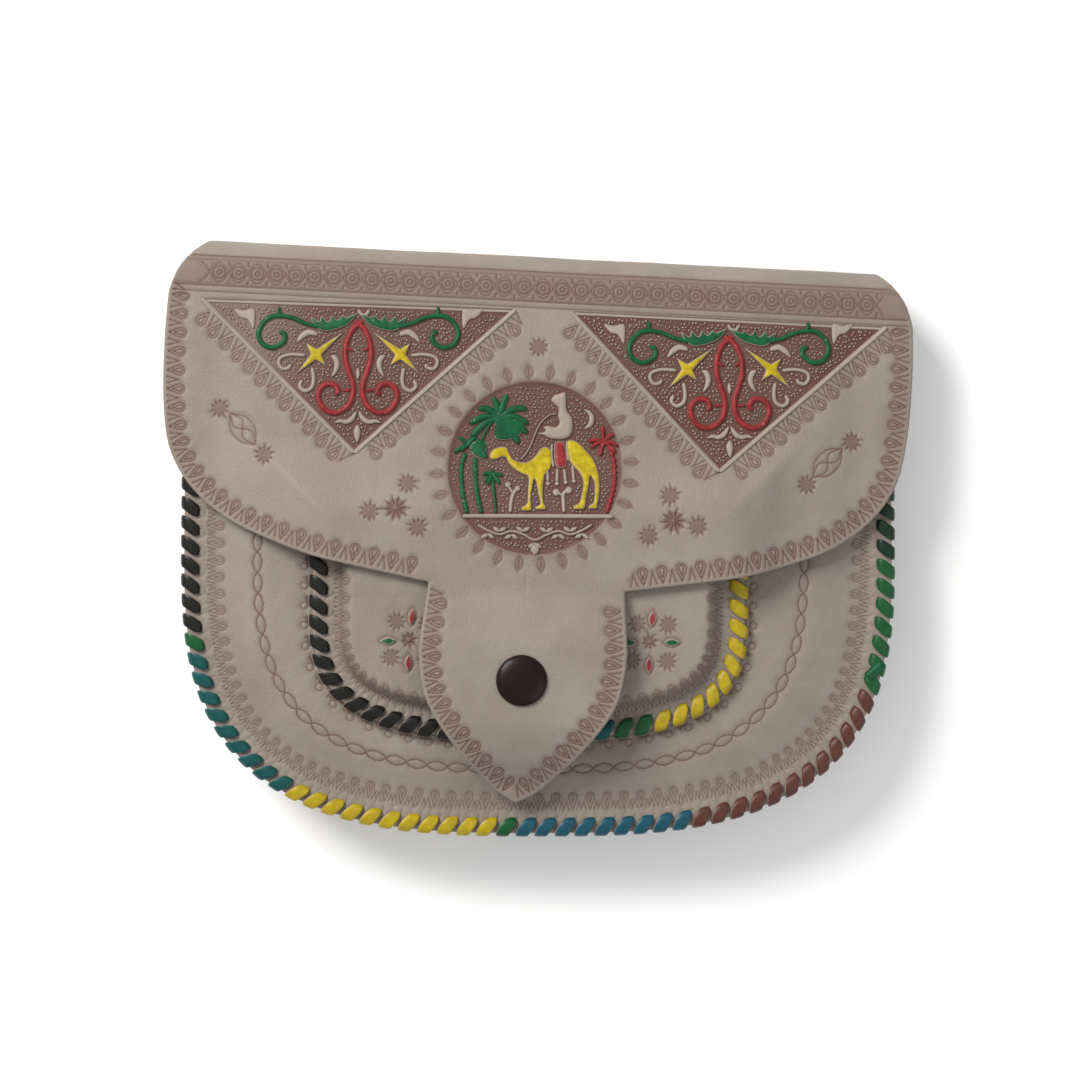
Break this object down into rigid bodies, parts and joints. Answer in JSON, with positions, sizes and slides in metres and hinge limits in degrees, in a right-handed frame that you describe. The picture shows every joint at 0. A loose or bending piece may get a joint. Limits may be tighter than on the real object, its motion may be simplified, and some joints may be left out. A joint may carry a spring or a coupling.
{
  "type": "handbag",
  "caption": "Small hand-tooled leather flap bag with laced edges, a laced patch pocket on the front and a pointed tongue closed by a snap.",
  "frame": {"origin": "middle of the bag's bounding box, on the surface that its back lies on", "axes": "+X to the right across the front, +Y up the bag towards the fold of the flap, +Z out of the front"},
  "size_m": [0.2262, 0.1808, 0.046],
  "materials": {
    "leather": "natural vegetable-tanned leather, tooled and stained brown in its hollows",
    "teal_lace": "flat leather thong, painted black, green, teal, yellow and blue in turn",
    "red_brown_lace": "flat leather thong, painted red brown and green in turn",
    "black_lace": "flat leather thong, painted black, yellow, green and teal in turn",
    "enamel": "glossy dark brown enamel",
    "snap_metal": "plain brass snap parts"
  },
  "bodies": {
    "body": {"back_panel": "leather", "flap_fold": "leather", "front_panel": "leather", "gusset": "leather", "pocket_panel": "leather", "rim_lace_long": "teal_lace", "rim_lace_short": "red_brown_lace", "pocket_lace": "black_lace", "snap_post": "snap_metal", "snap_stud": "snap_metal"},
    "flap": {"flap": "leather", "snap_cap": "enamel", "snap_socket": "snap_metal"}
  },
  "joints": [
    {"name": "flap_hinge", "type": "hinge", "parent": "body", "child": "flap", "pos_m": [0.001, 0.07423, 0.011], "axis": [-0.9987, 0.0506, 0], "range_deg": [0, 160], "deforming": ["flap_fold"]}
  ]
}
